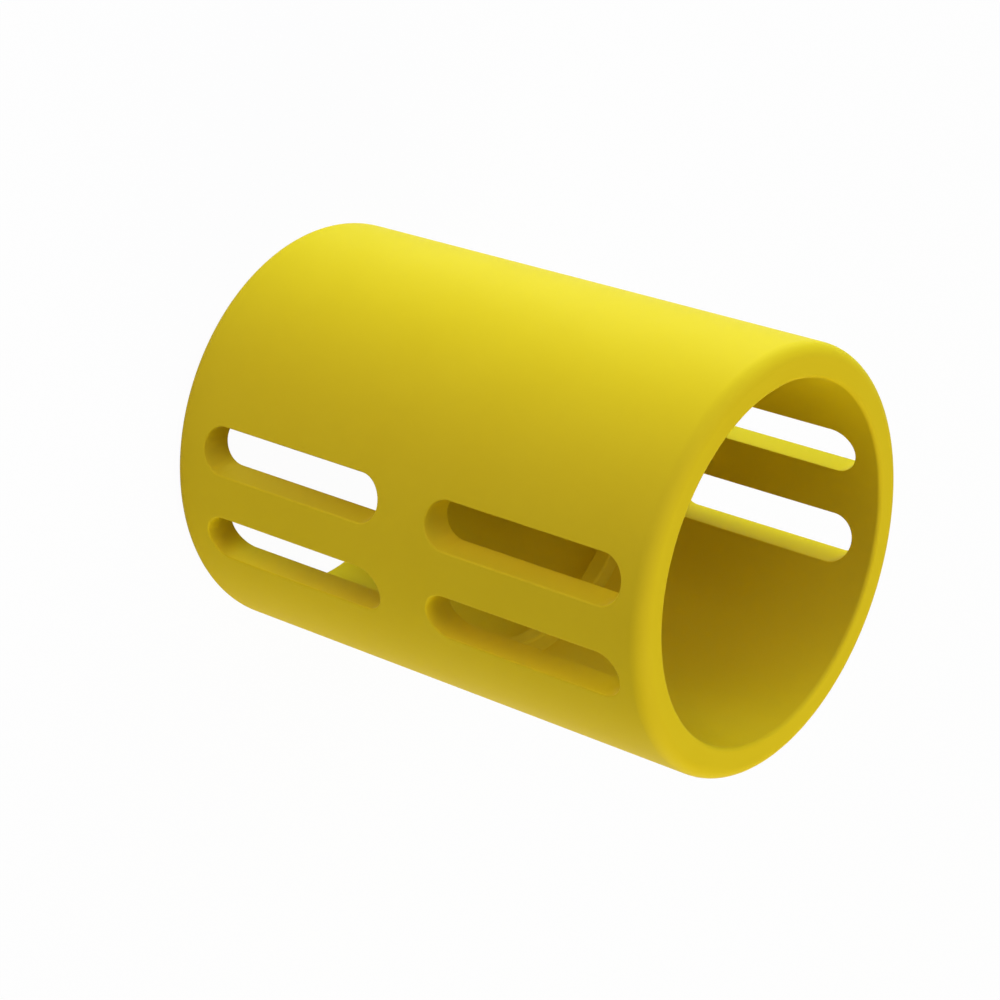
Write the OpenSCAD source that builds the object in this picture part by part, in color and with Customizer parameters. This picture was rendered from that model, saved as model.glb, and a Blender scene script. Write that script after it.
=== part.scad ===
// Slotted coupling sleeve for plastic drainage pipe, moulded in one piece.
// The sleeve stands on its lower end, with the pipe axis on +Z and the origin at the centre of the lower face.
// The slots pass straight through both walls along Y.

/* [Pipe and wall] */
// Outside diameter of the pipe that pushes into each end
pipe_d = 50; // [32:0.5:110]
// Clearance between the pipe and the bore, on the diameter
pipe_clearance = 0.6; // [0.2:0.1:1.2]
// Thickness of the sleeve's wall
wall = 4.7; // [3:0.1:10]
// Depth of each socket, from the mouth to the stop ring
socket_depth = 39.8; // [25:0.1:90]

/* [Stop ring] */
// Width of the ring along the pipe axis
stop_w = 2.8; // [1.5:0.1:6]
// Height of the ring above the bore, which hides the edge of the pipe's wall
stop_h = 2.6; // [1:0.1:5]
// Rounding of the ring's two inner edges
stop_edge_r = 0.8; // [0.2:0.1:0.9]

/* [Mouths] */
// Rounding of the outer edge of each end
rim_r = 2; // [0.5:0.1:2.5]
// Rounding of the inner edge of each mouth, which leads the pipe in
mouth_r = 1; // [0.2:0.1:1.2]

/* [Slots] */
// Number of slot rows on each side
slot_rows = 2; // [1:1:3]
// Distance between the centre lines of neighbouring rows
row_pitch = 13.3; // [11:0.1:14]
// Width of a slot
slot_w = 6.7; // [4:0.1:10]
// Band left between the two slots of a row, over the stop ring
middle_land = 8.4; // [8:0.1:14]
// Mean band left between a slot and the mouth
end_land = 4.8; // [4:0.1:10]
// Offset of all slots from the middle of the sleeve, towards the upper end
slot_shift = 0.85; // [0:0.05:1.2]
// Chamfer of the slots' outer edges, measured along the surface
edge_break = 0.25; // [0.1:0.05:0.4]

/* [Hidden] */
$fn = 96;
spare = 1;

bore_r = (pipe_d + pipe_clearance) / 2;
outer_r = bore_r + wall;
stop_r = bore_r - stop_h;
sleeve_len = 2 * socket_depth + stop_w;
rim_fillet = min(rim_r, wall / 2);
mouth_fillet = min(mouth_r, wall / 4);
stop_fillet = min(stop_edge_r, stop_w / 3, stop_h / 2);

slot_len = (sleeve_len - middle_land) / 2 - end_land;
slot_z = (middle_land + slot_len) / 2;
break_slope = 1;
break_depth = 1.2;

// What a fillet of radius r takes off a corner that points to +x and +y
module corner_waste(r) {
    difference() {
        translate([-r, -r]) square(r + spare);
        translate([-r, -r]) circle(r);
    }
}

// Upper half of the revolved section, from the middle of the stop ring to the mouth
module half_section() {
    difference() {
        union() {
            translate([bore_r, 0]) square([wall, sleeve_len / 2]);
            translate([stop_r, 0]) square([stop_h + wall / 2, stop_w / 2]);
        }
        translate([outer_r, sleeve_len / 2]) corner_waste(rim_fillet);
        translate([bore_r, sleeve_len / 2]) mirror([1, 0]) corner_waste(mouth_fillet);
        translate([stop_r, stop_w / 2]) mirror([1, 0]) corner_waste(stop_fillet);
    }
}

// Plain sleeve with its stop ring, centred on the origin
module turned_sleeve() {
    rotate_extrude() union() {
        half_section();
        mirror([0, 1]) half_section();
    }
}

// Straight slot with round ends, long along Z, through both walls along Y
module slot_cutter() {
    rotate([90, 0, 0])
    linear_extrude(height = 2 * (outer_r + spare), center = true) union() {
        square([slot_w, slot_len - slot_w], center = true);
        for (end = [-1, 1])
            translate([0, end * (slot_len - slot_w) / 2]) circle(slot_w / 2);
    }
}

// Flared cutter that breaks a slot's outer edge on one side of the sleeve, square to the curved wall there.
// Its round ends are drawn in by tip_inset, so that the chamfer is as wide at the tips as along the sides.
module slot_edge_cutter(row_x, side) {
    inner_a = acos((row_x - slot_w / 2) / outer_r);
    outer_a = acos((row_x + slot_w / 2) / outer_r);
    half_a = (inner_a - outer_a) / 2;
    edge_r = outer_r * cos(half_a);
    edge_half_w = outer_r * sin(half_a);
    tip_inset = edge_half_w + (outer_r - edge_r) * break_slope - slot_w / 2;
    reach = (slot_len - slot_w) / 2 - tip_inset;
    height = outer_r - edge_r + break_depth + spare;
    low_w = edge_half_w + edge_break - break_depth * break_slope;
    high_w = low_w + height * break_slope;

    rotate([0, 0, side * (inner_a + outer_a) / 2])
    translate([edge_r - break_depth, 0, 0])
    rotate([0, 90, 0]) {
        for (turn = [0, 180])
            rotate(turn) translate([reach, 0, 0]) rotate(-90) rotate_extrude(angle = 180)
            polygon([[0, 0], [low_w, 0], [high_w, height], [0, height]]);
        rotate([90, 0, 90]) linear_extrude(height = 2 * reach, center = true)
        polygon([[-low_w, 0], [low_w, 0], [high_w, height], [-high_w, height]]);
    }
}

module coupling_sleeve() {
    color("#dcc81e")
    translate([0, 0, sleeve_len / 2])
    difference() {
        turned_sleeve();
        for (row = [0 : slot_rows - 1], column = [-1, 1]) {
            row_x = (row - (slot_rows - 1) / 2) * row_pitch;
            translate([0, 0, slot_shift + column * slot_z]) {
                translate([row_x, 0, 0]) slot_cutter();
                for (side = [-1, 1]) slot_edge_cutter(row_x, side);
            }
        }
    }
}

coupling_sleeve();
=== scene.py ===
import math

import bmesh
import bpy
from mathutils import Matrix, Quaternion, Vector


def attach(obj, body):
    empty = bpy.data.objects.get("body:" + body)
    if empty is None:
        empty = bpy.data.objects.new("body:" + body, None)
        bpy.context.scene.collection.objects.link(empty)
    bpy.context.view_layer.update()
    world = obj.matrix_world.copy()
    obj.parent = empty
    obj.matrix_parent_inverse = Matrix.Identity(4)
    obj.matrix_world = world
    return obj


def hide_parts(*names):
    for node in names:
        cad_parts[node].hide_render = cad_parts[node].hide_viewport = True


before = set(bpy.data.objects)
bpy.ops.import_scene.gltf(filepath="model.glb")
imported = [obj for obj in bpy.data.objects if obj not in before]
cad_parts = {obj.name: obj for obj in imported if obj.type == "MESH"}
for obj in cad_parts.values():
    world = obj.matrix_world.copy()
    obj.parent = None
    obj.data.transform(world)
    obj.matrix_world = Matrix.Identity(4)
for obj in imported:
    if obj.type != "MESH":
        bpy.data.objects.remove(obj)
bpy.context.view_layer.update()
scene = bpy.context.scene
mm = 0.001
print("frame loaded:", sorted(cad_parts))


def linearColour(hexText):
    channels = [int(hexText[i:i + 2], 16) / 255 for i in (1, 3, 5)]
    return [c / 12.92 if c <= 0.04045 else ((c + 0.055) / 1.055) ** 2.4 for c in channels] + [1.0]


def addNode(tree, kind, settings=None, links=None):
    # settings are properties or input values by name, links are output sockets by input name
    node = tree.nodes.new(kind)
    for name, value in (settings or {}).items():
        if isinstance(name, int) or name in node.inputs:
            node.inputs[name].default_value = value
        else:
            setattr(node, name, value)
    for name, socket in (links or {}).items():
        tree.links.new(socket, node.inputs[name])
    return node


def emptyTree(owner):
    owner.use_nodes = True
    owner.node_tree.nodes.clear()
    return owner.node_tree


def addObject(name, data):
    made = bpy.data.objects.new(name, data)
    scene.collection.objects.link(made)
    return made


def meshObject(name, bm, material):
    mesh = bpy.data.meshes.new(name)
    bm.to_mesh(mesh)
    bm.free()
    mesh.materials.append(material)
    return addObject(name, mesh)


sleeve = {
    "radius": 30.0,
    "wall": 4.7,
    "length": 82.4,
    "rimRound": 2.0,  # outer edge of each end
    "rimFacets": 10,
    "mouthRound": 0.6,  # inner edge of each mouth
    "mouthFacets": 6,
    "ringFrom": 39.8,  # stop ring inside, where the two pipes meet
    "ringTo": 42.6,
    "ringHeight": 2.6,
    "ringRound": 0.4,
    "ringFacets": 4,
    "endBand": 2.6,  # plain band of faces that the rounded ends are made from
    "frontHalfAngle": 24.0,  # half the angle of the part of the wall that has the slots
    "facetAngle": 1.5,  # of the part without slots
}
slot = {
    "rowX": 6.65,
    "middles": (21.75, 62.35),
    "width": 6.7,
    "length": 32.2,
    "outerRound": 0.25,
    "outerFacets": 4,
    "innerRound": 0.15,
    "innerFacets": 3,
    "endFacets": 32,
    "rings": 4,  # rings of faces between a slot and the plain grid
    "nearby": 4.0,  # its outer edge lies within this distance of its middle line
}
frontHalf = sleeve["radius"] * math.sin(math.radians(sleeve["frontHalfAngle"]))
sideLength = sleeve["radius"] * math.radians(90 - sleeve["frontHalfAngle"])
quarter = frontHalf + sideLength
tiny = 1e-4  # places nearer than this are one place
cornerTurn = 45  # direction of the corners of the cell round a slot, in degrees
sharpEdge = 1.0  # turn between two faces that makes a corner, in radians
sameSide = 0.5  # cosine of the turn up to which faces are shaded together


def mix(a, b, share):
    return a + (b - a) * share


def onlyType(geom, kind):
    return [g for g in geom if isinstance(g, kind)]


def edgesWhere(bm, test):
    return [e for e in bm.edges if all(test(v.co) for v in e.verts)]


def bevelEdges(bm, edges, size, segments):
    made = bmesh.ops.bevel(bm, geom=edges, offset=size, offset_type="OFFSET", segments=segments,
                           profile=0.5, affect="EDGES", clamp_overlap=False, material=-1)
    for face in made["faces"]:
        face[bm.faces.layers.int["rounding"]] = 1


def cellBorder(point, middle, low, high):
    # where the ring of faces round a slot meets the plain grid
    reach = (slot["length"] - slot["width"]) / 2
    upper = point.z > middle
    pivot = middle + reach if upper else middle - reach
    edge = high if upper else low
    turn = math.degrees(math.atan2(abs(point.z - pivot), point.x - slot["rowX"]))
    if turn <= cornerTurn:
        return Vector((frontHalf, 0, mix(pivot, edge, turn / cornerTurn)))
    if turn >= 180 - cornerTurn:
        return Vector((0, 0, mix(pivot, edge, (180 - turn) / cornerTurn)))
    share = (180 - cornerTurn - turn) / (180 - 2 * cornerTurn)
    angle = math.radians(sleeve["frontHalfAngle"] * share)
    return Vector((sleeve["radius"] * math.sin(angle), 0, edge))


def drawSlotCell(bm, middle, low, high):
    half = slot["width"] / 2
    reach = (slot["length"] - slot["width"]) / 2
    first = bm.verts.new((slot["rowX"] + half, 0, middle + reach))
    spot = first
    for side in (1, -1):
        arc = bmesh.ops.spin(bm, geom=[spot], cent=(slot["rowX"], 0, middle + side * reach),
                             axis=(0, -1, 0), angle=math.pi, steps=slot["endFacets"])
        spot = onlyType(arc["geom_last"], bmesh.types.BMVert)[0]
        if side == 1:
            spot = bmesh.ops.extrude_vert_indiv(bm, verts=[spot])["verts"][0]
            spot.co.z -= 2 * reach
    bm.edges.new((spot, first))
    outline = [e for e in bm.edges if not e.link_faces and
               all(low < v.co.z < high for v in e.verts)]
    old = {v for e in outline for v in e.verts}
    made = bmesh.ops.extrude_edge_only(bm, edges=outline)["geom"]
    new = onlyType(made, bmesh.types.BMVert)
    for v in new:
        v.co = cellBorder(v.co, middle, low, high)
    spokes = [e for v in new for e in v.link_edges if e.other_vert(v) in old]
    bmesh.ops.subdivide_edges(bm, edges=spokes, cuts=slot["rings"] - 1, use_grid_fill=True)


def extrudeEdges(bm, edges, move):
    made = bmesh.ops.extrude_edge_only(bm, edges=edges)["geom"]
    bmesh.ops.translate(bm, vec=move, verts=onlyType(made, bmesh.types.BMVert))


def near(value, target):
    return abs(value - target) < tiny


def drawQuarter(bm):
    length, wall = sleeve["length"], sleeve["wall"]
    low, high = sleeve["endBand"], length - sleeve["endBand"]
    drawSlotCell(bm, slot["middles"][0], low, sleeve["ringFrom"])
    drawSlotCell(bm, slot["middles"][1], sleeve["ringTo"], high)
    # plain bands at the ring and at both ends
    for z, target in ((sleeve["ringFrom"], sleeve["ringTo"]), (low, 0), (high, length)):
        extrudeEdges(bm, edgesWhere(bm, lambda p: near(p.z, z)), (0, 0, target - z))
    bmesh.ops.remove_doubles(bm, verts=bm.verts, dist=tiny)
    # side of the sleeve, which has no slots
    edges = edgesWhere(bm, lambda p: near(p.x, frontHalf))
    extrudeEdges(bm, edges, (sideLength, 0, 0))
    across = [e for e in bm.edges if near(e.calc_length(), sideLength)]
    cuts = round((90 - sleeve["frontHalfAngle"]) / sleeve["facetAngle"]) - 1
    bmesh.ops.subdivide_edges(bm, edges=across, cuts=cuts, use_grid_fill=True)
    # thickness of the wall, then the stop ring on its inner face
    skin = bmesh.ops.extrude_face_region(bm, geom=bm.faces[:])["geom"]
    bmesh.ops.translate(bm, vec=(0, wall, 0), verts=onlyType(skin, bmesh.types.BMVert))
    ring = [f for f in bm.faces if all(near(v.co.y, wall) for v in f.verts)
            and sleeve["ringFrom"] < f.calc_center_median().z < sleeve["ringTo"]]
    raised = bmesh.ops.extrude_face_region(bm, geom=ring)["geom"]
    bmesh.ops.translate(bm, vec=(0, sleeve["ringHeight"], 0), verts=onlyType(raised, bmesh.types.BMVert))
    bmesh.ops.delete(bm, geom=ring, context="FACES_ONLY")
    bmesh.ops.recalc_face_normals(bm, faces=bm.faces)


def roundQuarter(bm):
    wall = sleeve["wall"]
    top = wall + sleeve["ringHeight"]
    ends = (0, sleeve["length"])

    def atEnd(p):
        return near(p.z, ends[0]) or near(p.z, ends[1])

    def onSeam(edge):
        return all(near(v.co.x, 0) for v in edge.verts) or all(near(v.co.x, quarter) for v in edge.verts)

    def corners(depth, test):
        return [e for e in bm.edges if all(near(v.co.y, depth) and test(v.co) for v in e.verts)
                and e.calc_face_angle(0) > sharpEdge and not onSeam(e)]

    def nearSlot(p):
        return abs(p.x - slot["rowX"]) < slot["nearby"]

    def offRing(p):
        return not sleeve["ringFrom"] - tiny < p.z < sleeve["ringTo"] + tiny

    bevelEdges(bm, corners(0, atEnd), sleeve["rimRound"], sleeve["rimFacets"])
    bevelEdges(bm, corners(wall, atEnd), sleeve["mouthRound"], sleeve["mouthFacets"])
    bevelEdges(bm, corners(top, lambda p: True), sleeve["ringRound"], sleeve["ringFacets"])
    bevelEdges(bm, corners(0, nearSlot), slot["outerRound"], slot["outerFacets"])
    bevelEdges(bm, corners(wall, offRing), slot["innerRound"], slot["innerFacets"])
    seams = [f for f in bm.faces if all(near(v.co.x, 0) for v in f.verts)
             or all(near(v.co.x, quarter) for v in f.verts)]
    bmesh.ops.delete(bm, geom=seams, context="FACES")


def mirrorAcross(bm, x):
    copy = bmesh.ops.duplicate(bm, geom=bm.verts[:] + bm.edges[:] + bm.faces[:])["geom"]
    bmesh.ops.scale(bm, vec=(-1, 1, 1), space=Matrix.Translation((-x, 0, 0)),
                    verts=onlyType(copy, bmesh.types.BMVert))
    bmesh.ops.reverse_faces(bm, faces=onlyType(copy, bmesh.types.BMFace))
    bmesh.ops.remove_doubles(bm, verts=bm.verts, dist=tiny)


def flatNormal(corner, rounding):
    # plain faces rule the shading, and the rounded edges turn smoothly between them
    face = corner.face
    around = [f for f in corner.vert.link_faces if f.normal.dot(face.normal) > sameSide]
    plain = [f for f in around if not f[rounding]]
    total = Vector()
    for f in plain or around:
        total += f.normal * (f.calc_area() if plain else 1)
    return total.normalized()


def rolledPoint(flat):
    radius = sleeve["radius"] - flat.y
    half = math.floor((flat.x + quarter) / (2 * quarter))
    across = flat.x - 2 * quarter * half
    if abs(across) <= frontHalf:
        angle = math.asin(across / radius)
    else:
        share = (abs(across) - frontHalf) / sideLength
        angle = math.copysign(mix(math.asin(frontHalf / radius), math.pi / 2, share), across)
    angle += math.pi * half
    return Vector((radius * math.sin(angle), -radius * math.cos(angle), flat.z))


def rolledNormal(flat, normal):
    step = 1e-3
    slopes = []
    for axis in (Vector((1, 0, 0)), Vector((0, 1, 0)), Vector((0, 0, 1))):
        slopes.append((rolledPoint(flat + axis * step) - rolledPoint(flat - axis * step)) / (2 * step))
    turned = (slopes[1].cross(slopes[2]) * normal.x + slopes[2].cross(slopes[0]) * normal.y
              + slopes[0].cross(slopes[1]) * normal.z)
    return turned.normalized()


def makeSleeve(name, material):
    bm = bmesh.new()
    bm.faces.layers.int.new("rounding")
    bm.loops.layers.float_vector.new("shading")
    drawQuarter(bm)
    roundQuarter(bm)
    rounding = bm.faces.layers.int["rounding"]
    shading = bm.loops.layers.float_vector["shading"]
    mirrorAcross(bm, 0)
    mirrorAcross(bm, quarter)
    bm.normal_update()
    for face in bm.faces:
        for corner in face.loops:
            corner[shading] = rolledNormal(corner.vert.co, flatNormal(corner, rounding))
    for v in bm.verts:
        v.co = rolledPoint(v.co) * mm
    bmesh.ops.remove_doubles(bm, verts=bm.verts, dist=tiny * mm)
    made = meshObject(name, bm, material)
    mesh = made.data
    normals = [Vector(item.vector) for item in mesh.attributes["shading"].data]
    mesh.polygons.foreach_set("use_smooth", [True] * len(mesh.polygons))
    mesh.normals_split_custom_set(normals)
    for layer in ("shading", "rounding"):
        mesh.attributes.remove(mesh.attributes[layer])
    return made


plastic = {
    "colour": "#e0c620",
    "deep": "#dcc11c",
    "roughness": 0.45,
    "roughnessSpread": 0.03,
    "ior": 1.53,
    "specular": 0.03,  # the satin skin shows little gloss except at grazing angles
    "pigmentSize": 14.0,  # faint clouds in the pigment
    "pigmentDetail": 3.0,
    "skinSize": 0.9,  # orange peel of the moulded skin
    "skinDetail": 2.0,
    "skinHeight": 0.004,
}


def makePlastic():
    # rigid PVC, injection moulded: opaque pigment under a smooth skin with a soft gloss
    material = bpy.data.materials.new("moulded_rigid_pvc_yellow")
    tree = emptyTree(material)
    place = addNode(tree, "ShaderNodeTexCoord").outputs["Object"]
    pigment = addNode(tree, "ShaderNodeTexNoise", {"Scale": 1 / (plastic["pigmentSize"] * mm),
                                                   "Detail": plastic["pigmentDetail"]}, {"Vector": place})
    colour = addNode(tree, "ShaderNodeMix", {"data_type": "RGBA", 6: linearColour(plastic["colour"]),
                                             7: linearColour(plastic["deep"])}, {0: pigment.outputs["Fac"]})
    gloss = addNode(tree, "ShaderNodeMapRange", {
        "To Min": plastic["roughness"] - plastic["roughnessSpread"],
        "To Max": plastic["roughness"] + plastic["roughnessSpread"],
    }, {"Value": pigment.outputs["Fac"]})
    skin = addNode(tree, "ShaderNodeTexNoise", {"Scale": 1 / (plastic["skinSize"] * mm),
                                                "Detail": plastic["skinDetail"]}, {"Vector": place})
    relief = addNode(tree, "ShaderNodeBump", {"Strength": 1.0, "Distance": plastic["skinHeight"] * mm},
                     {"Height": skin.outputs["Fac"]})
    shader = addNode(tree, "ShaderNodeBsdfPrincipled", {
        "IOR": plastic["ior"],
        "Specular IOR Level": plastic["specular"],
        "Specular Tint": linearColour(plastic["colour"]),
    }, {
        "Base Color": colour.outputs[2],
        "Roughness": gloss.outputs["Result"],
        "Normal": relief.outputs["Normal"],
    })
    addNode(tree, "ShaderNodeOutputMaterial", links={"Surface": shader.outputs["BSDF"]})
    return material


yellowPvc = makePlastic()
print("plastic ready")
moulding = makeSleeve("slotted_sleeve", yellowPvc)
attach(moulding, "root")
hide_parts("coupling_sleeve")
print("sleeve ready:", len(moulding.data.polygons), "faces")


camera = {
    # place and aim are in millimetres on the sleeve's own axes, roll is in degrees and clip in metres
    "place": (-157.46, -281.13, 267.5),
    "aim": (-0.69, -7.49, 41.2),
    "roll": 108.014,
    "lens": 100.812,
    "sensor": 36.0,
    "clip": (0.01, 20.0),
}


def makeCamera():
    data = bpy.data.cameras.new("studio_camera")
    data.lens = camera["lens"]
    data.sensor_width = camera["sensor"]
    data.clip_start, data.clip_end = camera["clip"]
    made = addObject("studio_camera", data)
    made.location = Vector(camera["place"]) * mm
    look = Vector(camera["aim"]) - Vector(camera["place"])
    made.rotation_mode = "QUATERNION"
    made.rotation_quaternion = (look.to_track_quat("-Z", "Y")
                                @ Quaternion((0, 0, 1), math.radians(camera["roll"])))
    scene.camera = made


makeCamera()
print("camera ready")


studio = {
    "white": (1.0, 1.0, 1.0, 1.0),
    "floorColour": "#dcdcdc",
    "floorSize": 4000.0,
    "cameraWhite": 0.97,  # share of plain white in the floor, the rest is its own shading
    "glossWhite": 0.2,  # the same where a gloss looks at the floor
    "worldGloss": 0.4,  # share of white that a gloss sees in the world
    "fill": (0.0, 0.0, 0.0, 1.0),  # what the world adds to the lamps on the object
    "lampSize": 600.0,
    "lampDistance": 780.0,
}
lamps = {
    # turn goes round the sleeve from +X and rise is above the horizon, in degrees; power is in watts
    "key": {"turn": 140, "rise": 8, "power": 3.4, "tint": (0.83, 1.0, 0.5)},
    "front": {"turn": 220, "rise": 8, "power": 3.5, "tint": (0.67, 0.62, 1.0)},
    "side": {"turn": 0, "rise": 8, "power": 3.3, "tint": (1.0, 1.0, 0.5)},
    "high": {"turn": 0, "rise": 60, "power": 3.8, "tint": (1.0, 0.94, 0.6)},
    "mouth": {"turn": 180, "rise": 60, "power": 3.9, "tint": (0.41, 0.43, 1.0)},
    "under": {"turn": 140, "rise": -20, "power": 3.7, "tint": (0.72, 1.0, 0.45)},
}


def whiteShare(tree, cameraShare, glossShare):
    # how much plain white the camera, a clear piece and a gloss see; other rays see none
    path = addNode(tree, "ShaderNodeLightPath")
    straight = addNode(tree, "ShaderNodeMath", {"operation": "MAXIMUM"},
                       {0: path.outputs["Is Camera Ray"], 1: path.outputs["Is Transmission Ray"]})
    gloss = addNode(tree, "ShaderNodeMath", {"operation": "MULTIPLY", 1: glossShare},
                    {0: path.outputs["Is Glossy Ray"]})
    both = addNode(tree, "ShaderNodeMath", {"operation": "MULTIPLY_ADD", 1: cameraShare},
                   {0: straight.outputs[0], 2: gloss.outputs[0]})
    return both.outputs[0]


def makeWorld():
    world = bpy.data.worlds.new("white_studio")
    scene.world = world
    tree = emptyTree(world)
    white = addNode(tree, "ShaderNodeBackground", {"Color": studio["white"], "Strength": 1.0})
    fill = addNode(tree, "ShaderNodeBackground", {"Color": studio["fill"], "Strength": 1.0})
    both = addNode(tree, "ShaderNodeMixShader", links={
        0: whiteShare(tree, 1, studio["worldGloss"]), 1: fill.outputs[0], 2: white.outputs[0]})
    addNode(tree, "ShaderNodeOutputWorld", links={"Surface": both.outputs[0]})


def makeFloor():
    material = bpy.data.materials.new("pale_studio_floor")
    tree = emptyTree(material)
    plain = addNode(tree, "ShaderNodeBsdfDiffuse", {"Color": linearColour(studio["floorColour"])})
    white = addNode(tree, "ShaderNodeEmission", {"Color": studio["white"], "Strength": 1.0})
    both = addNode(tree, "ShaderNodeMixShader", links={
        0: whiteShare(tree, studio["cameraWhite"], studio["glossWhite"]),
        1: plain.outputs[0], 2: white.outputs[0]})
    addNode(tree, "ShaderNodeOutputMaterial", links={"Surface": both.outputs[0]})
    bm = bmesh.new()
    bmesh.ops.create_grid(bm, x_segments=1, y_segments=1, size=studio["floorSize"] / 2 * mm)
    made = meshObject("floor", bm, material)
    made.visible_shadow = False  # translucent, so the lamp below it shines through


def makeLamp(name, lamp):
    data = bpy.data.lights.new(name, "AREA")
    data.shape = "SQUARE"
    data.size = studio["lampSize"] * mm
    data.energy = lamp["power"]
    data.color = lamp["tint"]
    data.cycles.use_multiple_importance_sampling = False  # a bounced ray can't pass the floor
    made = addObject(name, data)
    turn, rise = math.radians(lamp["turn"]), math.radians(lamp["rise"])
    away = Vector((math.cos(rise) * math.cos(turn), math.cos(rise) * math.sin(turn), math.sin(rise)))
    middle = Vector((0, 0, sleeve["length"] / 2))
    made.location = (middle + away * studio["lampDistance"]) * mm
    made.rotation_euler = (-away).to_track_quat("-Z", "Y").to_euler()


makeWorld()
makeFloor()
for lampName, lampSettings in lamps.items():
    makeLamp(lampName, lampSettings)
scene.view_settings.view_transform = "Standard"
print("studio ready")
